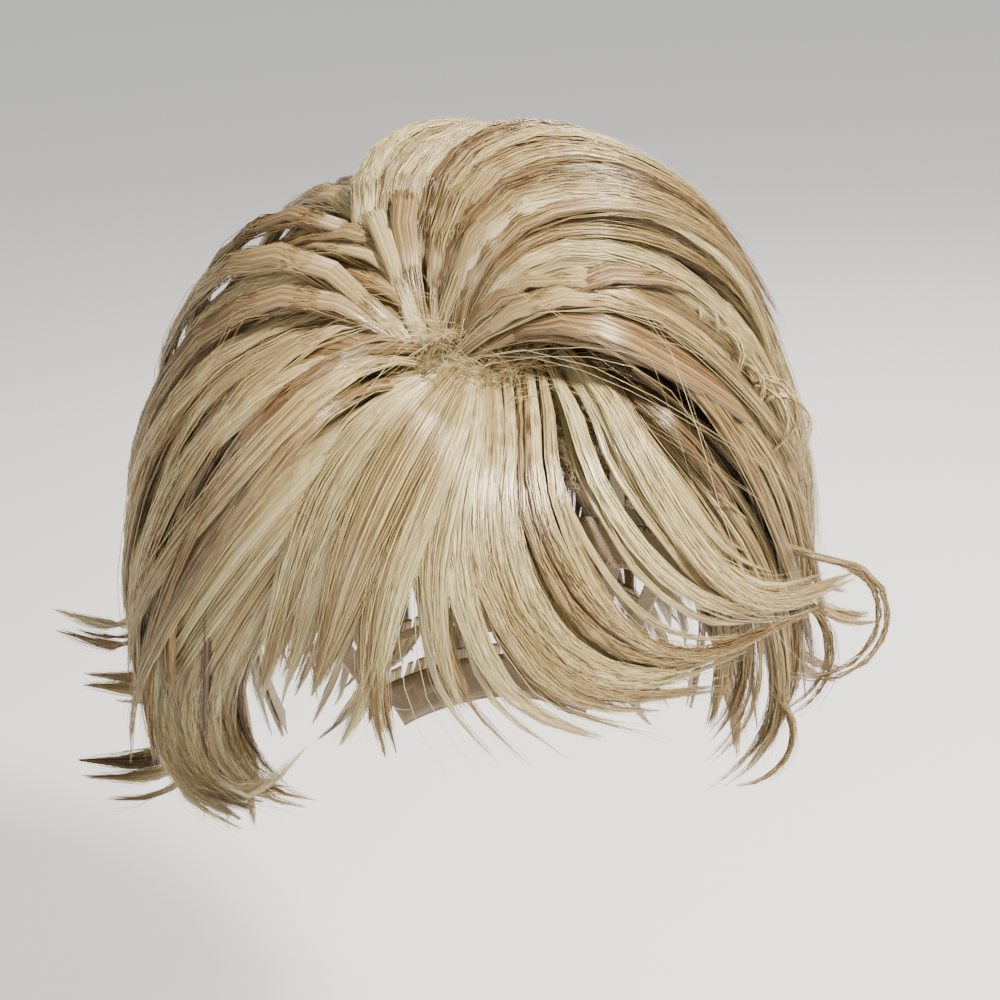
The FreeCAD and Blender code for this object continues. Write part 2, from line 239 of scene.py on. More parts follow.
band_cloth = cloth_finish("band_cloth", (0.26, 0.19, 0.12), (0.55, 0.44, 0.31), 0.0009)
lining_velour = cloth_finish("lining_velour", (0.36, 0.27, 0.18), (0.62, 0.50, 0.37), 0.0004, sheen=0.6,
                              depth=0.0001)
elastic_web = cloth_finish("elastic_web", (0.24, 0.18, 0.12), (0.52, 0.42, 0.30), 0.0012, roughness=0.7)


CUPPING = 170  # a strip lies against the head across its width, as if round a cylinder 85 mm in radius, in MM


def cloth_strip(name, body, path, width, lift, thick, finish, stations=25, across=6):
    """A strip of cloth along a path of (longitude, latitude)."""
    places = evenly([Vector((lon, lat, 0)) for lon, lat in path], stations)
    points, laid, faces, run = [], [], [], 0.0
    for k, place in enumerate(places):
        before, after = places[max(0, k - 1)], places[min(stations - 1, k + 1)]
        middle = on_cap(place.x, place.y)
        run += (middle - on_cap(before.x, before.y)).length
        out = (on_cap(place.x, place.y, 1) - middle).normalized()
        side = out.cross(on_cap(after.x, after.y) - on_cap(before.x, before.y)).normalized()
        for step in range(across + 1):
            a = width * (step / across - 0.5)
            points.append((middle + side * a + out * (lift + thick / 2 - a * a / CUPPING)) * MM)
            laid.extend((a * MM, run * MM, 0))
    for k in range(stations - 1):
        for step in range(across):
            a = k * (across + 1) + step
            faces.append((a, a + 1, a + across + 2, a + across + 1))
    mesh = bpy.data.meshes.new(name)
    mesh.from_pydata(points, [], faces)
    mesh.attributes.new("laid", "FLOAT_VECTOR", "POINT").data.foreach_set("vector", laid)
    mesh.materials.append(finish)
    piece = new_object(name + "_cloth", mesh)
    solid = piece.modifiers.new("thickness", "SOLIDIFY")
    solid.thickness, solid.offset = thick * 0.8 * MM, 0
    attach(piece, body)
    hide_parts(name)


def mirrored(path):
    """The same path on the other side of the head."""
    return [(-lon, lat) for lon, lat in path]


FRONT_BAND = [(-70, 8), (-52, 20), (-28, 29), (0, 29), (28, 29), (52, 20), (70, 8)]
NAPE_BAND = [(134, -45), (157, -46), (180, -46), (203, -46), (226, -45)]
SIDE_BAND = [(88, 10), (98, 8), (110, -1), (119, -14), (125, -28), (129, -38)]
EAR_TAB = [(78, 3), (78, -8), (78, -21)]
RIB_OUTER = [(133, 33), (135, 10), (137, -10), (139, -36)]
RIB_INNER = [(157, 33), (158, 10), (158, -10), (159, -36)]
RIB_CENTRE = [(180, 33), (180, 10), (180, -12), (180, -36)]
seams = {"cap": [(FRONT_BAND, 14), (NAPE_BAND, 18), (RIB_CENTRE, 8)]}
cloth_strip("front_band", "cap", FRONT_BAND, 14, 1.1, 0.9, band_cloth)
cloth_strip("front_lining", "cap", FRONT_BAND, 12, 0.2, 0.6, lining_velour)
cloth_strip("nape_band", "cap", NAPE_BAND, 18, 1.1, 0.9, band_cloth)
cloth_strip("nape_lining", "cap", NAPE_BAND, 16, 0.2, 0.6, lining_velour)
cloth_strip("rib_centre", "cap", RIB_CENTRE, 8, 1.1, 0.9, elastic_web)
for side in ("left", "right"):
    laid_out = mirrored if side == "right" else list
    tab = "ear_tab_" + side
    cloth_strip("side_band_" + side, "cap", laid_out(SIDE_BAND), 9, 1.1, 0.9, band_cloth)
    cloth_strip("rib_outer_" + side, "cap", laid_out(RIB_OUTER), 8, 1.1, 0.9, elastic_web)
    cloth_strip("rib_inner_" + side, "cap", laid_out(RIB_INNER), 8, 1.1, 0.9, elastic_web)
    cloth_strip(tab, tab, laid_out(EAR_TAB), 15, 1.4, 0.9, band_cloth, stations=13)
    cloth_strip("ear_lining_" + side, tab, laid_out(EAR_TAB), 14, -0.1, 0.5, lining_velour,
                stations=13)
    seams["cap"] += [(laid_out(SIDE_BAND), 9), (laid_out(RIB_OUTER), 8), (laid_out(RIB_INNER), 8)]
    seams[tab] = [(laid_out(EAR_TAB), 15.6)]


# --- The net dome ---
# Fine stretch tulle over the top of the head, with a coarser mesh of doubled threads knitted into it. A bound
# edge joins it to the front band and to the ribs.
NET_EDGE_LAT = 36


def tulle():
    """Net with holes about a millimetre across."""
    finish, tree, shader = new_finish("tulle")
    place = add(tree, "ShaderNodeTexCoord").outputs["Object"]
    cells = add(tree, "ShaderNodeTexVoronoi", set_feature="DISTANCE_TO_EDGE", Vector=place, Scale=850.0)
    thread = add(tree, "ShaderNodeMapRange", Value=cells.outputs["Distance"], _1=0.06, _2=0.16, _3=1.0,
                 _4=0.0)
    tree.links.new(thread.outputs[0], shader.inputs["Alpha"])
    shade = add(tree, "ShaderNodeTexNoise", Vector=place, Scale=60.0, Detail=3.0).outputs[0]
    colour = add(tree, "ShaderNodeMix", set_data_type="RGBA", _0=shade, _6=(0.30, 0.22, 0.14, 1),
                 _7=(0.58, 0.47, 0.33, 1))
    tree.links.new(colour.outputs[2], shader.inputs["Base Color"])
    shader.inputs["Roughness"].default_value = 0.7
    return finish


NET_COLUMNS, NET_RINGS, NET_LIFT = 64, 12, 1.5
points, faces = [], []
for ring in range(NET_RINGS):
    for column in range(NET_COLUMNS):
        lat = NET_EDGE_LAT + (90 - NET_EDGE_LAT) * ring / NET_RINGS
        points.append(on_cap(360 * column / NET_COLUMNS, lat, NET_LIFT) * MM)
points.append(on_cap(0, 90, NET_LIFT) * MM)
for ring in range(NET_RINGS - 1):
    for column in range(NET_COLUMNS):
        a, b = ring * NET_COLUMNS + column, ring * NET_COLUMNS + (column + 1) % NET_COLUMNS
        faces.append((a, b, b + NET_COLUMNS, a + NET_COLUMNS))
top = (NET_RINGS - 1) * NET_COLUMNS
faces += [(top + k, top + (k + 1) % NET_COLUMNS, len(points) - 1) for k in range(NET_COLUMNS)]
mesh = bpy.data.meshes.new("net")
mesh.from_pydata(points, [], faces)
mesh.materials.append(tulle())
net = new_object("net", mesh)


def thread_tree():
    """A thread along each guide, set over to left and right by turns for a zigzag stitch."""
    tree = bpy.data.node_groups.new("thread_on_path", "GeometryNodeTree")
    tree.interface.new_socket("Guides", in_out="INPUT", socket_type="NodeSocketGeometry")
    for label, kind in (("Pitch", "NodeSocketFloat"), ("Width", "NodeSocketFloat"),
                        ("Thread Radius", "NodeSocketFloat"), ("Finish", "NodeSocketMaterial")):
        tree.interface.new_socket(label, in_out="INPUT", socket_type=kind)
    tree.interface.new_socket("Threads", in_out="OUTPUT", socket_type="NodeSocketGeometry")
    given = tree.nodes.new("NodeGroupInput").outputs
    curves = add(tree, "GeometryNodeMeshToCurve", Mesh=given["Guides"]).outputs[0]
    even = add(tree, "GeometryNodeResampleCurve", set_mode="LENGTH", Curve=curves,
               Length=given["Pitch"]).outputs[0]
    odd = add(tree, "ShaderNodeMath", set_operation="MODULO", _1=2.0,
              _0=add(tree, "GeometryNodeInputIndex").outputs[0]).outputs[0]
    swing = add(tree, "ShaderNodeMath", set_operation="MULTIPLY", _1=given["Width"], _0=add(
        tree, "ShaderNodeMath", set_operation="SUBTRACT", _0=odd, _1=0.5).outputs[0]).outputs[0]
    side = add(tree, "GeometryNodeInputNamedAttribute", set_data_type="FLOAT_VECTOR", Name="side").outputs[0]
    over = add(tree, "ShaderNodeVectorMath", set_operation="SCALE", Vector=side, Scale=swing).outputs[0]
    zigzag = add(tree, "GeometryNodeSetPosition", Geometry=even, Offset=over).outputs[0]
    outline = add(tree, "GeometryNodeCurvePrimitiveCircle", Resolution=4,
                  Radius=given["Thread Radius"]).outputs[0]
    tubes = add(tree, "GeometryNodeCurveToMesh", Curve=zigzag, _1=outline)
    tubes.inputs["Fill Caps"].default_value = True
    solid = add(tree, "GeometryNodeRealizeInstances", Geometry=tubes.outputs[0]).outputs[0]
    finished = add(tree, "GeometryNodeSetMaterial", Geometry=solid, Material=given["Finish"]).outputs[0]
    result = tree.nodes.new("NodeGroupOutput")
    tree.links.new(finished, result.inputs["Threads"])
    return tree


thread_on_path = thread_tree()


def made_by(tree, guides, name, **sizes):
    """The plain mesh that a node tree makes from guides, which are then removed."""
    modifier = guides.modifiers.new(name, "NODES")
    modifier.node_group = tree
    for socket in tree.interface.items_tree:
        if socket.in_out == "INPUT" and socket.name in sizes:
            modifier[socket.identifier] = sizes[socket.name]
    mesh = bpy.data.meshes.new_from_object(guides.evaluated_get(bpy.context.evaluated_depsgraph_get()))
    bpy.data.objects.remove(guides)
    mesh.name = name
    return mesh


def threads(name, body, slot, lines, **sizes):
    """Threads along lines of (place in MM, sideways direction), as one plain mesh."""
    points, sides, edges = [], [], []
    for line in lines:
        first = len(points)
        for place, sideways in line:
            points.append(place * MM)
            sides.extend(sideways)
        edges += [(k, k + 1) for k in range(first, len(points) - 1)]
    mesh = bpy.data.meshes.new(name + "_guides")
    mesh.from_pydata(points, edges, [])
    mesh.attributes.new("side", "FLOAT_VECTOR", "POINT").data.foreach_set("vector", sides)
    guides = new_object(name + "_guides", mesh)
    piece = new_object(name, made_by(thread_on_path, guides, name, **sizes), smooth=False)
    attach(piece, body)
    return piece


thread_finish = cloth_finish("sewing_thread", (0.42, 0.33, 0.22), (0.72, 0.62, 0.46), 0.0006, laid=False,
                             roughness=0.5)
LATTICE_THREADS, LATTICE_STEPS = 36, 12
lines = []
for slant in (-1, 1):
    for k in range(LATTICE_THREADS):
        line = []
        for step in range(LATTICE_STEPS):
            share = step / (LATTICE_STEPS - 1)
            lat = NET_EDGE_LAT + 0.5 + (80 - NET_EDGE_LAT) * share
            lon = 360 / LATTICE_THREADS * k + slant * 62 * share
            line.append((on_cap(lon, lat, NET_LIFT), Vector((0, 0, 1))))
        lines.append(line)
mesh_threads = threads("net_threads", "cap", "net", lines, Pitch=0.004, Width=0.0, Finish=thread_finish,
                       **{"Thread Radius": 0.0002})
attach(net, "cap")
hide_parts("crown_net")


# --- Weft tracks, seams and the parting ---
# Each row of hair is sewn to a folded header tape. Zigzag stitches hold the tapes to the ribs and hold the
# edges of the bands down. The parting is a patch of skin-coloured film on lace.
def beside(path, across, lift, steps=60):
    """Places along a path of (longitude, latitude), moved sideways and raised, with the way sideways."""
    line = []
    places = evenly([Vector((lon, lat, 0)) for lon, lat in path], steps)
    for before, place, after in zip([places[0]] + places[:-1], places, places[1:] + [places[-1]]):
        middle = on_cap(place.x, place.y)
        out = (on_cap(place.x, place.y, 1) - middle).normalized()
        side = out.cross(on_cap(after.x, after.y) - on_cap(before.x, before.y)).normalized()
        line.append((middle + side * across + out * (lift - across * across / CUPPING), side))
    return line


for body, strips in seams.items():
    edges = [beside(path, sign * (width / 2 - 1.3), lift) for path, width in strips for sign in (-1, 1)
             for lift in (1.15, 2.0)]
    threads("seams_" + body, body, "cap_band", edges, Pitch=0.0013, Width=0.0015, Finish=thread_finish,
            **{"Thread Radius": 0.00016})

tape_finish = cloth_finish("header_tape", (0.20, 0.13, 0.07), (0.52, 0.40, 0.24), 0.0007, laid=False)
ROW_LATS = (28, 18, 8, -2, -12, -22, -32, -42)
ROW_FRONT_LONS = (93, 93, 96, 113, 119, 124, 129, 132)
TRACKS = [[(front + (360 - 2 * front) * k / 8, lat) for k in range(9)]
          for lat, front in zip(ROW_LATS, ROW_FRONT_LONS)]
FRINGE_TRACK = [(-52, 50), (-30, 56), (0, 58), (30, 56), (52, 50)]
threads("track_stitches", "cap", "weft_tape", [beside(path, 0, lift, 90) for path in TRACKS + [FRINGE_TRACK]
                                              for lift in (2.25, 3.55)],
        Pitch=0.0014, Width=0.0024, Finish=thread_finish, **{"Thread Radius": 0.00018})


def moulded(name, colour, roughness, metallic=0.0):
    """Smooth moulded plastic or film, a little mottled, with fine marks from handling."""
    finish, tree, shader = new_finish(name)
    place = add(tree, "ShaderNodeTexCoord").outputs["Object"]
    mottle = add(tree, "ShaderNodeTexNoise", Vector=place, Scale=350.0, Detail=5.0).outputs[0]
    colour = add(tree, "ShaderNodeMix", set_data_type="RGBA", _0=mottle, _6=(*[c * 0.72 for c in colour], 1),
                 _7=(*colour, 1))
    tree.links.new(colour.outputs[2], shader.inputs["Base Color"])
    rough = add(tree, "ShaderNodeMapRange", Value=mottle, _3=roughness - 0.1, _4=roughness + 0.15).outputs[0]
    tree.links.new(rough, shader.inputs["Roughness"])
    bump = add(tree, "ShaderNodeBump", Strength=0.3, Distance=0.0001, Height=mottle)
    tree.links.new(bump.outputs["Normal"], shader.inputs["Normal"])
    shader.inputs["Metallic"].default_value = metallic
    return finish


NODE_FINISHES = (
    (tape_finish, [f"weft_track_{number}" for number in range(1, 9)] + ["fringe_track"]),
    (cloth_finish("loop_tape", (0.28, 0.21, 0.14), (0.56, 0.46, 0.33), 0.0008, laid=False),
     ["adjuster_loops_left", "adjuster_loops_right"]),
    (cloth_finish("strap_elastic", (0.25, 0.19, 0.13), (0.58, 0.48, 0.35), 0.0012, laid=False),
     ["adjuster_strap_left", "adjuster_strap_right"]),
    (moulded("clear_beige_plastic", (0.62, 0.50, 0.36), 0.35), ["adjuster_hook_left", "adjuster_hook_right"]),
    (moulded("stay_strip", (0.45, 0.44, 0.42), 0.4, metallic=0.6), ["ear_stay_left", "ear_stay_right"]),
    (moulded("parting_film", (0.70, 0.50, 0.36), 0.55), ["parting_patch"]),
)
for finish, names in NODE_FINISHES:
    for name in names:
        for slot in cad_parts[name].material_slots:
            slot.material = finish


# --- Hair ---
# Heat-resistant synthetic fibre, pale champagne blonde with beige and rose-brown strands mixed in. It is set
# in flat locks that taper to a point. Each lock has a smooth heart and loose strands over it.
STATIONS = 15
STRAND_RADIUS = 0.00014


def lock_width(share, root, tip):
    """How wide a lock is at a share of its length. It widens from the root and then tapers to its tip."""
    swell = min(1.0, share / 0.3)
    spread = root + (1 - root) * swell * swell * (3 - 2 * swell)
    return spread * (1 - (1 - tip) * max(0.0, (share - 0.45) / 0.55) ** 1.7)


def make_lock(path, width, tone, strands=None, root=0.4, tip=0.07, flat=0.26, twist=0.0):
    """One lock: its stations with their directions and widths, and its tone, from 0 dark to 1 pale."""
    places = evenly([Vector(p) for p in path], STATIONS)
    stations = []
    for k, place in enumerate(places):
        share = k / (STATIONS - 1)
        along = (places[min(k + 1, STATIONS - 1)] - places[max(k - 1, 0)]).normalized()
        side = out_from_head(place).cross(along).normalized()
        out = along.cross(side)
        if out.dot(out_from_head(place)) < 0:
            out, side = -out, -side
        turn = Matrix.Rotation(twist * share, 3, along)
        half = width / 2 * lock_width(share, root, tip)
        stations.append((place, turn @ side, turn @ out, half, half * flat + 0.25, share))
    return {"stations": stations, "tone": tone, "strands": strands or int(16 + width * 7)}


def spread(locks, seed, each=1, sideways=2.0, outwards=2.0, tone=0.15):
    """Every lock and some loose copies of it, each a little off its path, so that a lock has depth."""
    dice = random.Random(seed)
    made = []
    for path, width, colour in locks:
        first = Vector(path[0])
        on_scalp = (first.x / HEAD.x) ** 2 + (first.y / HEAD.y) ** 2 + (first.z / HEAD.z) ** 2 < 1.4
        root = 0.4 if on_scalp else 0.05
        made.append(make_lock(path, width, colour, root=root, twist=dice.uniform(-0.3, 0.3)))
        for _ in range(each):
            drift = Vector((dice.uniform(-1, 1), dice.uniform(-1, 1), dice.uniform(-1, 1))) * sideways
            sink = -outwards * dice.uniform(0.3, 1)
            moved = []
            for k, p in enumerate(path):
                p = Vector(p)
                share = k / (len(path) - 1)
                moved.append(p + drift * share + out_from_head(p) * sink * min(1, share * 3))
            made.append(make_lock(moved, width * dice.uniform(0.55, 0.9),
                                  colour + dice.uniform(-tone, tone) * 2,
                                  root=root, twist=dice.uniform(-0.6, 0.6)))
    return made


def hearts(name, locks):
    """The smooth hearts of the locks: one closed lens-shaped ribbon for each."""
    ring = [(cos(2 * pi * k / 8), sin(2 * pi * k / 8)) for k in range(8)]
    points, faces, tones, runs, corners = [], [], [], [], []
    for lock in locks:
        first = len(points)
        for place, side, out, half, thick, share in lock["stations"]:
            slim = 0.9 * (1 - 0.6 * share**5)
            for a, b in ring:
                points.append((place + side * slim * half * a + out * slim * thick * 0.75 * b) * MM)
                tones.append(lock["tone"])
                runs.append(share)
        for k in range(STATIONS - 1):
            for j in range(8):
                a, b = first + 8 * k + j, first + 8 * k + (j + 1) % 8
                faces.append((a, b, b + 8, a + 8))
                u, v = abs(j / 4 - 1), abs((j + 1) / 4 - 1)
                corners += [(u, k), (v, k), (v, k + 1), (u, k + 1)]
        faces.append(tuple(first + j for j in reversed(range(8))))
        faces.append(tuple(first + 8 * (STATIONS - 1) + j for j in range(8)))
        corners += [(0.5, 0)] * 8 + [(0.5, STATIONS - 1)] * 8
    mesh = bpy.data.meshes.new(name)
    mesh.from_pydata(points, [], faces)
    mesh.attributes.new("tone", "FLOAT", "POINT").data.foreach_set("value", tones)
    mesh.attributes.new("run", "FLOAT", "POINT").data.foreach_set("value", runs)
    uv = mesh.uv_layers.new(name="along_lock")
    for spot, (u, k) in zip(uv.data, corners):
        spot.uv = (u, k / (STATIONS - 1))
    return new_object(name, mesh)


def hair_colour(name):
    """A group that gives the fibre's colour from a lock's tone, a strand's chance and the place along it."""
    group = bpy.data.node_groups.new(name, "ShaderNodeTree")
    for label in ("Tone", "Chance", "Run"):
        group.interface.new_socket(label, in_out="INPUT", socket_type="NodeSocketFloat")
    group.interface.new_socket("Colour", in_out="OUTPUT", socket_type="NodeSocketColor")
    given = group.nodes.new("NodeGroupInput").outputs
    spread_tone = add(group, "ShaderNodeMapRange", Value=given["Chance"], _3=-0.36, _4=0.36).outputs[0]
    mixed = add(group, "ShaderNodeMath", _0=given["Tone"], _1=spread_tone).outputs[0]
    to_tip = add(group, "ShaderNodeMapRange", Value=given["Run"], _1=0.72, _2=1.0, _3=0.0, _4=0.20).outputs[0]
    toned = add(group, "ShaderNodeMath", set_operation="SUBTRACT", _0=mixed, _1=to_tip).outputs[0]
    ramp = add(group, "ShaderNodeValToRGB", Fac=toned)
    shades = ((0.0, (0.030, 0.017, 0.009, 1)), (0.22, (0.155, 0.088, 0.042, 1)),
              (0.45, (0.29, 0.195, 0.090, 1)), (0.72, (0.46, 0.365, 0.175, 1)), (1.0, (0.68, 0.60, 0.360, 1)))
    while len(ramp.color_ramp.elements) < len(shades):
        ramp.color_ramp.elements.new(0.5)
    for stop, (place, colour) in zip(ramp.color_ramp.elements, shades):
        stop.position, stop.color = place, colour
    result = group.nodes.new("NodeGroupOutput")
    group.links.new(ramp.outputs["Color"], result.inputs["Colour"])
    return group


fibre_colour = hair_colour("fibre_colour")


def hair_finish(name, loose):
    """The fibre's finish, for loose strands or for the smooth hearts, whose fine lines are a bump."""
    finish, tree, shader = new_finish(name)
    tone = add(tree, "ShaderNodeAttribute", set_attribute_name="tone").outputs["Fac"]
    run = add(tree, "ShaderNodeAttribute", set_attribute_name="run").outputs["Fac"]
    if loose:
        chance = add(tree, "ShaderNodeAttribute", set_attribute_name="chance").outputs["Fac"]
    else:
        uv = add(tree, "ShaderNodeUVMap", set_uv_map="along_lock").outputs[0]
        stretched = add(tree, "ShaderNodeMapping", Vector=uv, Scale=(30, 1.2, 1)).outputs[0]
        streaks = add(tree, "ShaderNodeTexNoise", Vector=stretched, Scale=1.0, Detail=6.0, Roughness=0.7)
        chance = add(tree, "ShaderNodeMapRange", Value=streaks.outputs[0], _1=0.34, _2=0.66).outputs[0]
        finer = add(tree, "ShaderNodeMapping", Vector=uv, Scale=(44, 1.0, 1)).outputs[0]
        lines = add(tree, "ShaderNodeTexNoise", Scale=1.0, Detail=3.0, Vector=finer).outputs[0]
        bump = add(tree, "ShaderNodeBump", Strength=0.8, Distance=0.0006, Height=lines)
        tree.links.new(bump.outputs["Normal"], shader.inputs["Normal"])
        across = add(tree, "ShaderNodeTangent", set_direction_type="UV_MAP", set_uv_map="along_lock")
        tree.links.new(across.outputs[0], shader.inputs["Tangent"])
        shader.inputs["Anisotropic"].default_value = 0.75
    colour = tree.nodes.new("ShaderNodeGroup")
    colour.node_tree = fibre_colour
    for label, value in (("Tone", tone), ("Chance", chance), ("Run", run)):
        tree.links.new(value, colour.inputs[label])
    tree.links.new(colour.outputs["Colour"], shader.inputs["Base Color"])
    shader.inputs["Roughness"].default_value = 0.25 if loose else 0.30
    shader.inputs["Specular IOR Level"].default_value = 0.9
    shader.inputs["Specular Tint"].default_value = (1, 0.93, 0.78, 1)
    shader.inputs["Coat Weight"].default_value = 0.3
    shader.inputs["Coat Tint"].default_value = (1, 0.96, 0.88, 1)
    shader.inputs["Coat Roughness"].default_value = 0.2
    return finish


strand_finish = hair_finish("loose_strands", loose=True)
heart_finish = hair_finish("smooth_hair", loose=False)


def strand_tree():
    """Strands from guides. Every copy of a guide goes to its own place in the lock, waves a little, ends
    early by chance and becomes a fine tapering tube."""
    tree = bpy.data.node_groups.new("strands_along_locks", "GeometryNodeTree")
    tree.interface.new_socket("Guides", in_out="INPUT", socket_type="NodeSocketGeometry")
    for label, kind, value in (
        ("Strand Radius", "NodeSocketFloat", STRAND_RADIUS), ("Wave", "NodeSocketFloat", 0.0003),
        ("Stray", "NodeSocketFloat", 0.004), ("Shortest", "NodeSocketFloat", 0.86),
        ("Seed", "NodeSocketInt", 0), ("Finish", "NodeSocketMaterial", None),
    ):
        socket = tree.interface.new_socket(label, in_out="INPUT", socket_type=kind)
        if value is not None:
            socket.default_value = value
    tree.interface.new_socket("Strands", in_out="OUTPUT", socket_type="NodeSocketGeometry")
    given = tree.nodes.new("NodeGroupInput").outputs

    def read(name, kind="FLOAT"):
        node = add(tree, "GeometryNodeInputNamedAttribute", set_data_type=kind, Name=name)
        return node.outputs["Attribute"]

    def maths(a, b, operation="ADD"):
        return add(tree, "ShaderNodeMath", set_operation=operation, _0=a, _1=b).outputs[0]

    def along_vector(vector, amount):
        node = add(tree, "ShaderNodeVectorMath", set_operation="SCALE", Vector=vector, Scale=amount)
        return node.outputs[0]

    curves = add(tree, "GeometryNodeMeshToCurve", Mesh=given["Guides"]).outputs[0]
    copies = add(tree, "GeometryNodeDuplicateElements", set_domain="SPLINE", Geometry=curves,
                 Amount=read("strands", "INT"))
    geometry = copies.outputs["Geometry"]
    chances = {}
    for number, (label, low, high) in enumerate((
            ("across", -1, 1), ("through", -1, 1), ("phase", 0, 6.28), ("stop", 0, 1), ("chance", 0, 1),
            ("stray", 0, 1))):
        seed = maths(given["Seed"], number * 7.0)
        value = add(tree, "FunctionNodeRandomValue", set_data_type="FLOAT", _2=float(low), _3=float(high),
                    ID=add(tree, "GeometryNodeInputIndex").outputs[0], Seed=seed).outputs[1]
        keep = add(tree, "GeometryNodeStoreNamedAttribute",
                   set_data_type="FLOAT", set_domain="CURVE", Geometry=geometry, Name=label, Value=value)
        geometry = keep.outputs[0]
        chances[label] = read(label)
    run = read("run")
    across = maths(chances["across"], read("half_width"), "MULTIPLY")
    lens = add(tree, "ShaderNodeMath", set_operation="SQRT", _0=maths(
        1.0, maths(chances["across"], chances["across"], "MULTIPLY"), "SUBTRACT")).outputs[0]
    shell = maths(maths(chances["through"], 0.40, "MULTIPLY"), maths(add(
        tree, "ShaderNodeMath", set_operation="SIGN", _0=chances["through"]).outputs[0], 0.72, "MULTIPLY"))
    through = maths(maths(shell, lens, "MULTIPLY"), read("half_thick"), "MULTIPLY")
    turn = maths(maths(run, 7.0, "MULTIPLY"), chances["phase"])
    wave = maths(maths(add(tree, "ShaderNodeMath", set_operation="SINE", _0=turn).outputs[0], given["Wave"],
                         "MULTIPLY"), run, "MULTIPLY")
    slower = add(tree, "ShaderNodeMath", set_operation="COSINE", _0=maths(turn, 1.3, "MULTIPLY"))
    lift = maths(maths(slower.outputs[0], given["Wave"], "MULTIPLY"), run, "MULTIPLY")
    stray = maths(maths(maths(chances["stray"], 9.0, "POWER"), given["Stray"], "MULTIPLY"),
                   maths(run, 1.4, "POWER"), "MULTIPLY")
    aside = maths(stray, add(tree, "ShaderNodeMath", set_operation="COSINE", _0=chances["phase"]).outputs[0],
                   "MULTIPLY")
    above = maths(stray, add(tree, "ShaderNodeMath", set_operation="SINE", _0=maths(
        chances["phase"], 0.5, "MULTIPLY")).outputs[0], "MULTIPLY")
    shift = add(tree, "ShaderNodeVectorMath", set_operation="ADD",
                _0=along_vector(read("side", "FLOAT_VECTOR"), maths(maths(across, wave), aside)),
                _1=along_vector(read("out", "FLOAT_VECTOR"), maths(maths(through, lift), above))).outputs[0]
    geometry = add(tree, "GeometryNodeSetPosition", Geometry=geometry, Offset=shift).outputs[0]
    end = add(tree, "ShaderNodeMapRange", Value=chances["stop"], _3=given["Shortest"], _4=1.0).outputs[0]
    geometry = add(tree, "GeometryNodeTrimCurve", Curve=geometry, End=end).outputs[0]
    geometry = add(tree, "GeometryNodeResampleCurve", Curve=geometry, Count=11).outputs[0]
    thin = add(tree, "ShaderNodeMapRange", Value=add(tree, "GeometryNodeSplineParameter").outputs["Factor"],
               _1=0.6, _2=1.0, _3=1.0, _4=0.3).outputs[0]
    geometry = add(tree, "GeometryNodeSetCurveRadius", Curve=geometry,
                   Radius=maths(thin, given["Strand Radius"], "MULTIPLY")).outputs[0]
    outline = add(tree, "GeometryNodeCurvePrimitiveCircle", Resolution=3, Radius=1.0).outputs[0]
    tubes = add(tree, "GeometryNodeCurveToMesh", Curve=geometry, _1=outline)
    tubes.inputs["Fill Caps"].default_value = True
    tree.links.new(maths(thin, given["Strand Radius"], "MULTIPLY"), tubes.inputs["Scale"])
    solid = add(tree, "GeometryNodeRealizeInstances", Geometry=tubes.outputs[0]).outputs[0]
    finished = add(tree, "GeometryNodeSetMaterial", Geometry=solid, Material=given["Finish"]).outputs[0]
    result = tree.nodes.new("NodeGroupOutput")
    tree.links.new(finished, result.inputs["Strands"])
    return tree


strands_along_locks = strand_tree()


def loose_strands(name, locks, seed, density=1.0, **sizes):
    """The loose strands of the locks, grown by the node tree and turned into a plain mesh."""
    points, edges, columns = [], [], {"run": [], "tone": [], "half_width": [], "half_thick": []}
    sides, outs, counts = [], [], []
    for lock in locks:
        first = len(points)
        for place, side, out, half, thick, share in lock["stations"]:
            points.append(place * MM)
            for label, value in (("run", share), ("tone", lock["tone"]), ("half_width", half * MM),
                                 ("half_thick", thick * MM)):
                columns[label].append(value)
            sides.extend(side)
            outs.extend(out)
            counts.append(max(1, int(lock["strands"] * density)))
        edges += [(first + k, first + k + 1) for k in range(STATIONS - 1)]
    mesh = bpy.data.meshes.new(name + "_guides")
    mesh.from_pydata(points, edges, [])
    for label, values in columns.items():
        mesh.attributes.new(label, "FLOAT", "POINT").data.foreach_set("value", values)
    for label, values in (("side", sides), ("out", outs)):
        mesh.attributes.new(label, "FLOAT_VECTOR", "POINT").data.foreach_set("vector", values)
    mesh.attributes.new("strands", "INT", "POINT").data.foreach_set("value", counts)
    guides = new_object(name + "_guides", mesh)
    grown = made_by(strands_along_locks, guides, name, Seed=seed, Finish=strand_finish, **sizes)
    return new_object(name, grown)


def hair(name, body, locks, seed, nodes=(), density=1.0, loose_only=False, **sizes):
    """Locks as two pieces, hearts and loose strands, that move with a body and replace CAD nodes."""
    pieces = [loose_strands(name + "_strands", locks, seed, density, **sizes)]
    if not loose_only:
        pieces.append(hearts(name + "_hearts", locks))
        pieces[1].data.materials.append(heart_finish)
    for piece in pieces:
        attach(piece, body)
        if nodes:
            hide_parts(*nodes)


# --- Crown hair ---
# Three layers of long locks cover the net dome. Those in front start at the parting, those at the back start
# near the top of the head, and all of them are combed round and down over the rows.
def to_scalp(place):
    """The place on the head's own surface above place, in MM."""
    place.z = HEAD.z * sqrt(1 - (place.x / HEAD.x) ** 2 - (place.y / HEAD.y) ** 2)
    return place


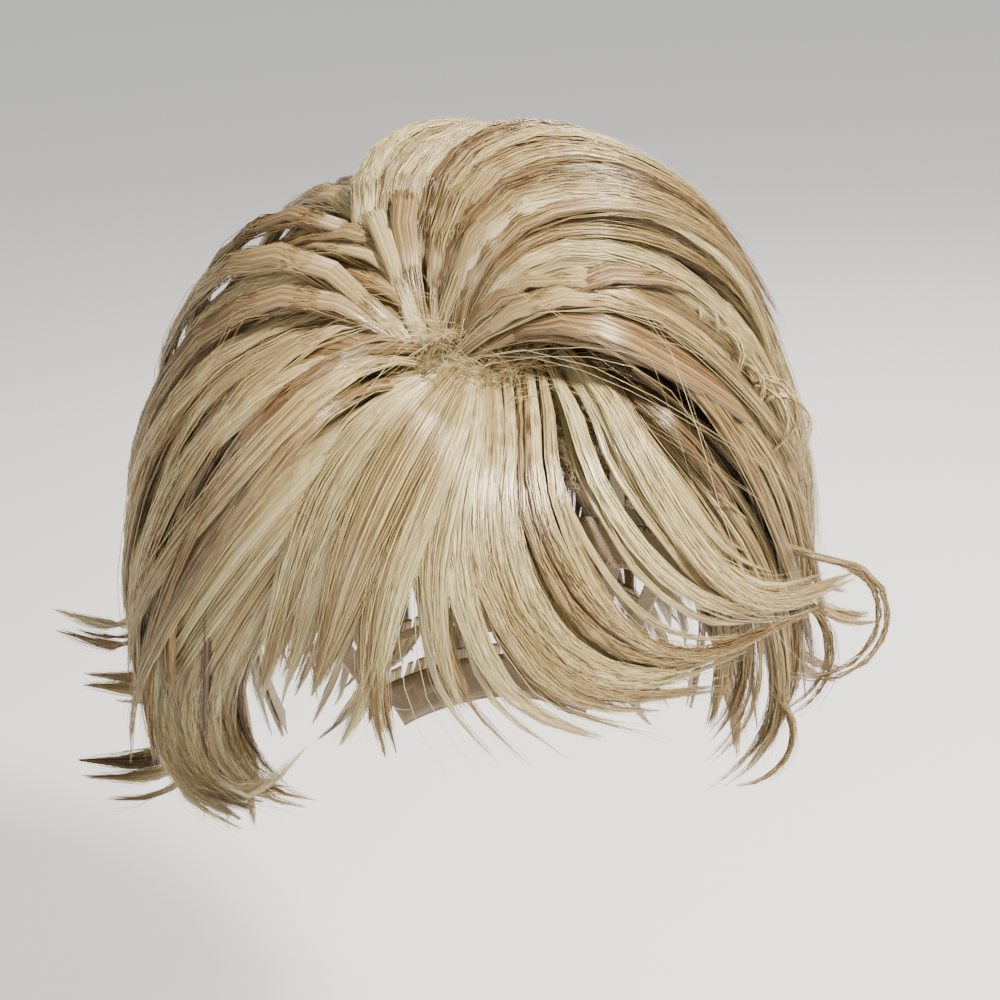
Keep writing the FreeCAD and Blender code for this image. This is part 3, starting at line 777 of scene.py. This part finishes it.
def comb(start, lon, tip_lat, lift, bend=0.0, wave=0.0, flip=0.0, rise_by=0.4, steps=8):
    """A path from a place on the head round to a longitude at the hat line and on down to its tip."""
    first = Vector((start.x / HEAD.x, start.y / HEAD.y, start.z / HEAD.z)).normalized()
    a = radians(lon)
    level = Vector((sin(a), -cos(a), 0))
    over = first.angle(level)
    whole = over + radians(-tip_lat)
    path = []
    for step in range(steps):
        share = step / (steps - 1)
        gone = whole * share
        there = first.slerp(level, min(1.0, gone / over))
        lat = degrees(asin(there.z)) if gone < over else -degrees(gone - over)
        here = degrees(atan2(there.x, -there.y)) + bend * sin(pi * share) + wave * sin(2 * pi * share)
        rise = min(1.0, share / rise_by)
        slack = 1 - 0.12 * sin(pi * min(1.0, share / 0.85))
        path.append(on_head(here, lat, 4 + (lift - 4) * rise * (2 - rise) * slack
                            + flip * max(0.0, share - 0.75) * 4))
    return path


def crown_locks(first_lon, last_lon, seed, lift, tone, layers, rise_by=0.4):
    """Crown hair between two longitudes. A layer is a share of the lift, spacing, width, tip and strands."""
    dice = random.Random(seed)
    locks = []
    for depth, spacing, wide, low, strands in layers:
        count = int(abs(last_lon - first_lon) / spacing)
        for k in range(count):
            lon = first_lon + (last_lon - first_lon) * (k + dice.uniform(0.1, 0.9)) / count
            far = min(1.0, max(0.0, (abs(lon) - 60) / 110))
            near_face = max(0.0, (90 - abs(lon)) / 35)
            start = Vector((dice.uniform(-7, 7), -44 + 62 * far + dice.uniform(-5, 5), 0))
            start += Vector((sin(radians(lon)) * (26 if depth < 0.9 else 8), 0, 0))
            path = comb(to_scalp(start), lon, low + 17 * near_face + dice.uniform(-12, 9),
                        lift * depth * dice.uniform(0.90, 1.05), bend=dice.uniform(-10, 10),
                        wave=dice.uniform(-5, 5), flip=dice.uniform(-4, 8), rise_by=rise_by)
            locks.append(make_lock(path, wide * dice.uniform(0.7, 1.25), tone + dice.uniform(-0.30, 0.30),
                                   strands=strands, twist=dice.uniform(-0.6, 0.6)))
    return locks


UNDER_LAYERS = ((0.38, 7.0, 15, -34, 18), (0.66, 5.2, 14, -26, 26), (0.85, 3.8, 14, -18, 24))
TOP_LAYER = ((0.97, 2.7, 10, -15, 52),)
for side, lons, lift, tone, rise_by in (
        ("right", (-54, -124), 43, 0.52, 0.42), ("left", (77, 124), 38, 0.58, 0.40),
        ("back", (125, 235), 43, 0.46, 0.20)):
    nodes = ["crown_hair_" + side]
    # The under layers are painted 0.15 darker in tone than the top layer, as painted shade beneath it.
    under = crown_locks(*lons, 3, lift, tone - 0.15, UNDER_LAYERS, rise_by)
    hair(f"crown_{side}_under", "cap", under, 11, nodes)
    hair(f"crown_{side}_top", "cap", crown_locks(*lons, 4, lift, tone, TOP_LAYER, rise_by), 12, nodes)


# --- The crest ---
# Long locks from the parting back over the top of the crown, which hide where the crown hair is sewn, and a
# short wide base layer that keeps the net from showing between them.
CREST_LOCKS, BASE_LOCKS, BASE_FRONT_LON = 26, 40, 84
locks = []
dice = random.Random(9)
for k in range(CREST_LOCKS):
    lon = 92 + 176 * (k + dice.uniform(0.1, 0.9)) / CREST_LOCKS
    start = to_scalp(Vector((dice.uniform(-8, 8), dice.uniform(-48, -24), 0)))
    path = comb(start, lon, dice.uniform(-16, 8), dice.uniform(38, 49), bend=dice.uniform(-12, 12),
                wave=dice.uniform(-6, 6), flip=dice.uniform(-2, 8), rise_by=0.26)
    locks.append(make_lock(path, dice.uniform(9, 14), dice.uniform(0.2, 0.85), strands=66,
                           twist=dice.uniform(-0.6, 0.6)))
for k in range(BASE_LOCKS):
    lon = -180 + 360 * (k + dice.uniform(0.1, 0.9)) / BASE_LOCKS
    if abs(lon) > BASE_FRONT_LON:
        start = to_scalp(Vector((dice.uniform(-8, 8), -44 + dice.uniform(-4, 4), 0)))
        path = comb(start, lon, dice.uniform(10, 24), dice.uniform(20, 34), bend=dice.uniform(-8, 8),
                    rise_by=0.3)
        locks.append(make_lock(path, 20, dice.uniform(0.3, 0.65), strands=20, root=0.12))
hair("crest", "cap", locks, 10)


# --- Rows of hair round the back and sides ---
# Machine-sewn wefts, one to each track. Every row is cut in short pointed locks that turn out at the ends,
# and each row lies outside the row below it.
ROW_TIP_LATS = (-14, -20, -25, -29, -34, -40, -49, -56)
ROW_LIFTS = (31, 28, 25, 22, 18, 14, 13, 12)
FIRST_NAPE_ROW = 7
ROOT_LIFT = 3.6


def row_locks(numbers, seed):
    """The locks of some of the rows, by number."""
    dice = random.Random(seed)
    locks = []
    for number in numbers:
        root, front = ROW_LATS[number - 1], ROW_FRONT_LONS[number - 1]
        nape = number >= FIRST_NAPE_ROW
        count = int((360 - 2 * front) / (3.2 if nape else 7))
        for k in range(count):
            lon = front + (360 - 2 * front) * (k + dice.uniform(0.2, 0.8)) / count
            tip = ROW_TIP_LATS[number - 1] + dice.uniform(-4, 6)
            lift, drift, flip = ROW_LIFTS[number - 1], dice.uniform(-9, 9), dice.uniform(2, 12)
            path = []
            for step in range(5):
                share = step / 4
                path.append(on_head(lon + drift * share * share, root + (tip - root) * share,
                                    ROOT_LIFT + (lift - ROOT_LIFT) * min(1, share * 1.5) + flip * share**4))
            wide = dice.uniform(3.5, 6) if nape else dice.uniform(7, 12)
            locks.append(make_lock(path, wide, 0.42 + dice.uniform(-0.3, 0.3), strands=int(5 + wide * 1.7),
                                   root=0.8, tip=0.12, twist=dice.uniform(-0.6, 0.6)))
    return locks


hair("rows_upper", "cap", row_locks((1, 2, 3), 6), 14, ["hair_row_1", "hair_row_2", "hair_row_3"])
hair("rows_lower", "cap", row_locks((4, 5, 6), 7), 15, ["hair_row_4", "hair_row_5", "hair_row_6"])
hair("nape_hair", "nape_hair", row_locks((7, 8), 8), 16, ["hair_row_7", "hair_row_8"])


# --- The swoop ---
# Long locks that stand up from the parting, go back and over the top and fall to the wearer's left, with rose
# brown ones between the pale ones. They hold their arch by setting spray, and light shows through under them.
def between(guides, count, seed, place=on_head, uneven=0.2, shortest=8, cross=0.35):
    """Locks combed in turn between guide locks. A guide is its stops, its width and its tone."""
    dice = random.Random(seed)
    combed = []
    for k in range(count):
        spot = (k + dice.uniform(0.1, 0.9)) / count * (len(guides) - 1)
        drift, last = dice.uniform(-cross, cross), len(guides[0][0]) - 1
        stops = []
        for step in range(last + 1):
            here = min(max(spot + drift * (step / last) ** 2, 0), len(guides) - 1.001)
            before, after = guides[int(here)][0][step], guides[int(here) + 1][0][step]
            stops.append(place(*(p + (q - p) * (here % 1) for p, q in zip(before, after))))
        (_, thin, dark), (_, wide, pale) = guides[int(spot)], guides[int(spot) + 1]
        path = evenly(stops, 12)[:dice.randint(shortest + 2, 12)]
        combed.append((path, (thin + (wide - thin) * (spot % 1)) * dice.uniform(0.6, 1.35),
                       dark + (pale - dark) * (spot % 1) + dice.uniform(-uneven, uneven)))
    return combed


def in_space(x, y, z):
    """A stop in MM, for hair that stands clear of the head."""
    return Vector((x, y, z))


SWOOP_GUIDES = (  # from the low locks at the front to the high ones at the back
    (((12, -42, 103), (30, -46, 120), (55, -44, 115), (78, -36, 92), (92, -30, 66), (98, -28, 38)), 10, 0.75),
    (((2, -42, 106), (8, -42, 126), (26, -38, 141), (58, -28, 138), (88, -18, 116),
      (104, -10, 80)), 12, 0.85),
    (((-3, -37, 108), (-3, -32, 128), (8, -14, 150), (38, -2, 157), (78, 10, 134), (108, 20, 92)), 10, 0.45),
    (((-10, -33, 109), (-22, -26, 126), (-24, -6, 148), (-10, 22, 156), (10, 54, 146),
      (26, 90, 116)), 9, 0.60),
)
swoop = between(SWOOP_GUIDES, 20, 20, in_space, uneven=0.5, cross=0.25)
hair("swoop", "cap", spread(swoop, 21, sideways=2.5, outwards=3), 22,
     ["swoop_front", "swoop_middle", "swoop_back"], density=0.68)


# --- The fringe ---
# Smooth pointed ribbons of hair from the parting down to the brows, with gaps between their ends. They hang
# from their own track and lift together.
FRINGE_GUIDES = (  # from the wearer's right brow round to the left temple, where the ends stand off the head
    (((0, 61, 6), (-20, 52, 12), (-31, 40, 15), (-34, 27, 17), (-36, 15, 19), (-38, 7, 21)), 17, 0.90),
    (((8, 61, 6), (-2, 51, 12), (-12, 38, 15), (-19, 26, 17), (-24, 15, 19), (-31, 6, 21)), 15, 0.85),
    (((14, 61, 5), (8, 48, 9), (3, 35, 12), (4, 24, 15), (12, 10, 19), (31, 0, 25)), 4.5, 0.80),
    (((20, 61, 5), (14, 45, 9), (9, 31, 11), (15, 16, 14), (31, 8, 17), (58, 3, 22)), 4, 0.60),
    (((36, 61, 7), (25, 49, 12), (20, 35, 14), (28, 18, 17), (46, 7, 22), (70, 6, 50)), 6, 0.85),
    (((48, 61, 9), (50, 47, 17), (52, 33, 20), (58, 20, 26), (66, 12, 38), (78, 7, 52)), 12, 0.95),
)
dice = random.Random(33)
veil = []
# Thin veil locks sit 1 to 4 mm under the fringe and are painted 0.1 darker in tone, as painted shade beneath
# it.
for path, width, tone in between(FRINGE_GUIDES, 50, 30, uneven=0.3, shortest=6, cross=0.1):
    sunk = [p - out_from_head(p) * dice.uniform(1, 4) for p in path]
    veil.append(make_lock(sunk, 0.5 * width, tone - 0.1, strands=12, root=0.8))
hair("fringe_veil", "fringe", veil, 34, Stray=0.012, Wave=0.0008)
fringe = between(FRINGE_GUIDES, 21, 29, uneven=0.32, cross=0.45)
hair("fringe", "fringe", spread(fringe, 31, sideways=2.5, outwards=2.5), 32,
     ["fringe_right", "fringe_centre", "fringe_left"], density=0.85)


# --- Front and side locks ---
# Long locks that frame the face. Those on the wearer's right come forward and curl under, and those on the
# left hang over the ear, some straight and some curling under. Outer ones flip away from the head.
FRONT_GUIDES = (
    (((-4, 62, 6), (-32, 60, 13), (-44, 50, 22), (-56, 38, 29), (-68, 22, 34), (-82, 4, 38),
      (-86, -8, 40)), 12, 0.60),
    (((-6, 61, 6), (-32, 50, 14), (-46, 36, 24), (-62, 14, 33), (-78, -6, 38), (-64, -17, 36),
      (-42, -13, 30)), 13, 0.70),
    (((-8, 60, 5), (-28, 43, 13), (-38, 30, 19), (-50, 14, 26), (-62, -2, 32), (-54, -11, 31),
      (-34, -5, 26)), 11, 0.85),
    (((-10, 56, 5), (-29, 40, 10), (-36, 28, 14), (-42, 15, 18), (-46, 3, 22), (-40, -7, 24),
      (-28, -8, 22)), 10, 0.60),
)
S_LOCK = [on_head(*stop) for stop in (
    (-6, 60, 6), (-30, 46, 15), (-46, 26, 24), (-62, 4, 32), (-62, -8, 32), (-40, -8, 28), (-27, 4, 24))]
front_locks = between(FRONT_GUIDES, 25, 40, uneven=0.25, shortest=9) + [(S_LOCK, 8, 1.0)]
hair("front_locks", "cap", spread(front_locks, 41, sideways=3, outwards=4), 42, density=0.68)

SIDE_GUIDES = (
    (((80, 66, 30), (92, 50, 44), (97, 36, 46), (98, 20, 44), (99, 6, 44), (100, -8, 46)), 8, 0.60),
    (((62, 66, 24), (76, 52, 42), (84, 38, 42), (87, 24, 40), (90, 8, 38), (92, -8, 37)), 9, 0.70),
    (((54, 44, 16), (60, 26, 22), (66, 10, 27), (70, -8, 30), (67, -22, 27), (55, -27, 14)), 6, 0.50),
    (((50, 34, 8), (54, 24, 11), (57, 12, 12), (58, 2, 13), (57, -6, 13), (54, -12, 12)), 7, 0.55),
)


def curl(lead, centre, radius, first, last, lean=0.0):
    """A lock that comes in along lead and then bends round in an arc, between two angles in degrees."""
    path = [in_space(*stop) for stop in lead]
    for step in range(7):
        turn = radians(first + (last - first) * step / 6)
        path.append(in_space(centre[0] + radius * cos(turn), centre[1] + lean * step,
                             centre[2] + radius * sin(turn)))
    return path


side_locks = between(SIDE_GUIDES, 24, 50, shortest=9) + [
    (curl([(78, -58, 55), (95, -42, 32)], (112, -38, 0), 22, 95, -125, lean=-0.8), 3, 0.45),
    (curl([(80, -54, 40), (94, -44, 14)], (94, -36, -12), 22, 50, -75, lean=-1.5), 3.5, 0.30),
    (curl([(84, -50, 20), (96, -44, 0)], (86, -44, -36), 16, 55, -110, lean=-2), 4, 0.50)]
hair("side_locks", "cap", spread(side_locks, 43, sideways=3, outwards=3), 44, density=0.7)

FLIP_ROUTES = {
    "flip_left_upper": ((98, 2, 40), (108, 12, 4), (116, 9, -8), (128, 5, -16), (139, 2, -15)),
    "flip_left_lower": ((98, 12, 10), (106, 26, -24), (110, 24, -40), (119, 20, -52), (131, 17, -55)),
    "flip_right_upper": ((-92, 2, 34), (-108, 14, 3), (-118, 12, -9), (-134, 12, -14), (-155, 14, -7)),
    "flip_right_middle": ((-92, 10, 14), (-106, 24, -20), (-111, 22, -34), (-126, 18, -42), (-149, 16, -38)),
    "flip_right_lower": ((-92, 0, -8), (-101, 8, -44), (-108, 4, -60), (-126, -2, -68), (-150, -8, -62)),
}
dice = random.Random(49)
flips = []
for route in FLIP_ROUTES.values():
    for width, whole in ((15, 12), (10, 12), (6, 11)):
        shift = in_space(dice.uniform(-2, 2), dice.uniform(-6, 6), dice.uniform(-9, 6))
        path = evenly([in_space(*stop) for stop in route], 12)[:whole]
        path = [p + shift * min(1, k / 4) for k, p in enumerate(path)]
        flips.append((path, width, dice.uniform(0.4, 0.85)))
hair("flips", "cap", spread(flips, 45, sideways=1.5, outwards=1), 46, list(FLIP_ROUTES), density=0.45)

dice = random.Random(48)
wisps = []
for k in range(6):
    centre = (66 + 7 * k, -26 + dice.uniform(-4, 6), 108 - 9 * k + dice.uniform(-3, 3))
    size = dice.uniform(7, 13)
    lead = [(centre[0] - 2.6 * size, centre[1] - 6, centre[2] + 0.2 * size)]
    path = curl(lead, centre, size, 120, dice.uniform(-110, -40), lean=-1.2)
    wisps.append((path, 1.6, dice.uniform(0.4, 0.9)))
hair("wisps", "cap", spread(wisps, 47, sideways=6, outwards=3), 48, density=0.6)


# --- Sideburns ---
# Hair sewn on the ear tabs. It hangs in front of each ear and moves with the tab.
SIDEBURN_LOCKS = 8
for side, sign in (("left", 1), ("right", -1)):
    dice = random.Random(51 + sign)
    locks = []
    for k in range(SIDEBURN_LOCKS):
        lon = 65 + 24 * (k + 0.5) / SIDEBURN_LOCKS
        tip = dice.uniform(-30, -23) - (9 if side == "right" else 0)
        path = [on_head(sign * (lon + dice.uniform(-3, 3) * step / 4), 3 + (tip - 3) * step / 4,
                        4 + 10 * sqrt(step / 4)) for step in range(5)]
        locks.append(make_lock(path, dice.uniform(8, 11), dice.uniform(0.5, 0.8), strands=60, root=0.8))
    hair("sideburn_" + side, "ear_tab_" + side, locks, 52 + sign, ["sideburn_" + side])


# --- Short hair at the parting and flyaways ---
# Short fibres stand up where the hair is knotted into the patch, and single long fibres have come loose from
# the set locks all over the crown.
FUZZ_TUFTS, FLYAWAY_GUIDES = 80, 44
dice = random.Random(61)
locks = []
for k in range(FUZZ_TUFTS):
    turn, reach = dice.uniform(0, 2 * pi), dice.uniform(6, 15)
    root = to_scalp(Vector((dice.uniform(-10, 36), -49 + dice.uniform(-6, 6), 0)))
    root.z += dice.uniform(5, 10)
    away = Vector((cos(turn), sin(turn) - 0.35, 0)) * reach
    path = [root, root + away * 0.35 + Vector((0, 0, reach * 0.40)),
            root + away + Vector((0, 0, reach * 0.35))]
    locks.append(make_lock(path, 7, dice.uniform(0.55, 0.85), strands=12, root=0.9, tip=0.9, flat=0.5))
hair("parting_fuzz", "cap", locks, 62, loose_only=True, Wave=0.0012, Shortest=0.4,
     **{"Strand Radius": 0.00009})

locks = []
for k in range(FLYAWAY_GUIDES):
    lon = dice.uniform(48, 312)
    start = to_scalp(Vector((dice.uniform(-12, 12), -46 + dice.uniform(-8, 40), 0)))
    path = comb(start, lon, dice.uniform(-12, 24), dice.uniform(32, 43), bend=dice.uniform(-25, 25),
                wave=dice.uniform(-12, 12), flip=dice.uniform(-6, 4))
    locks.append(make_lock(path, 16, dice.uniform(0.5, 1.0), strands=4, root=0.6, tip=1.0, flat=0.5))
hair("flyaways", "cap", locks, 63, loose_only=True, Wave=0.002, Stray=0.010, Shortest=0.45,
     **{"Strand Radius": 0.00007})
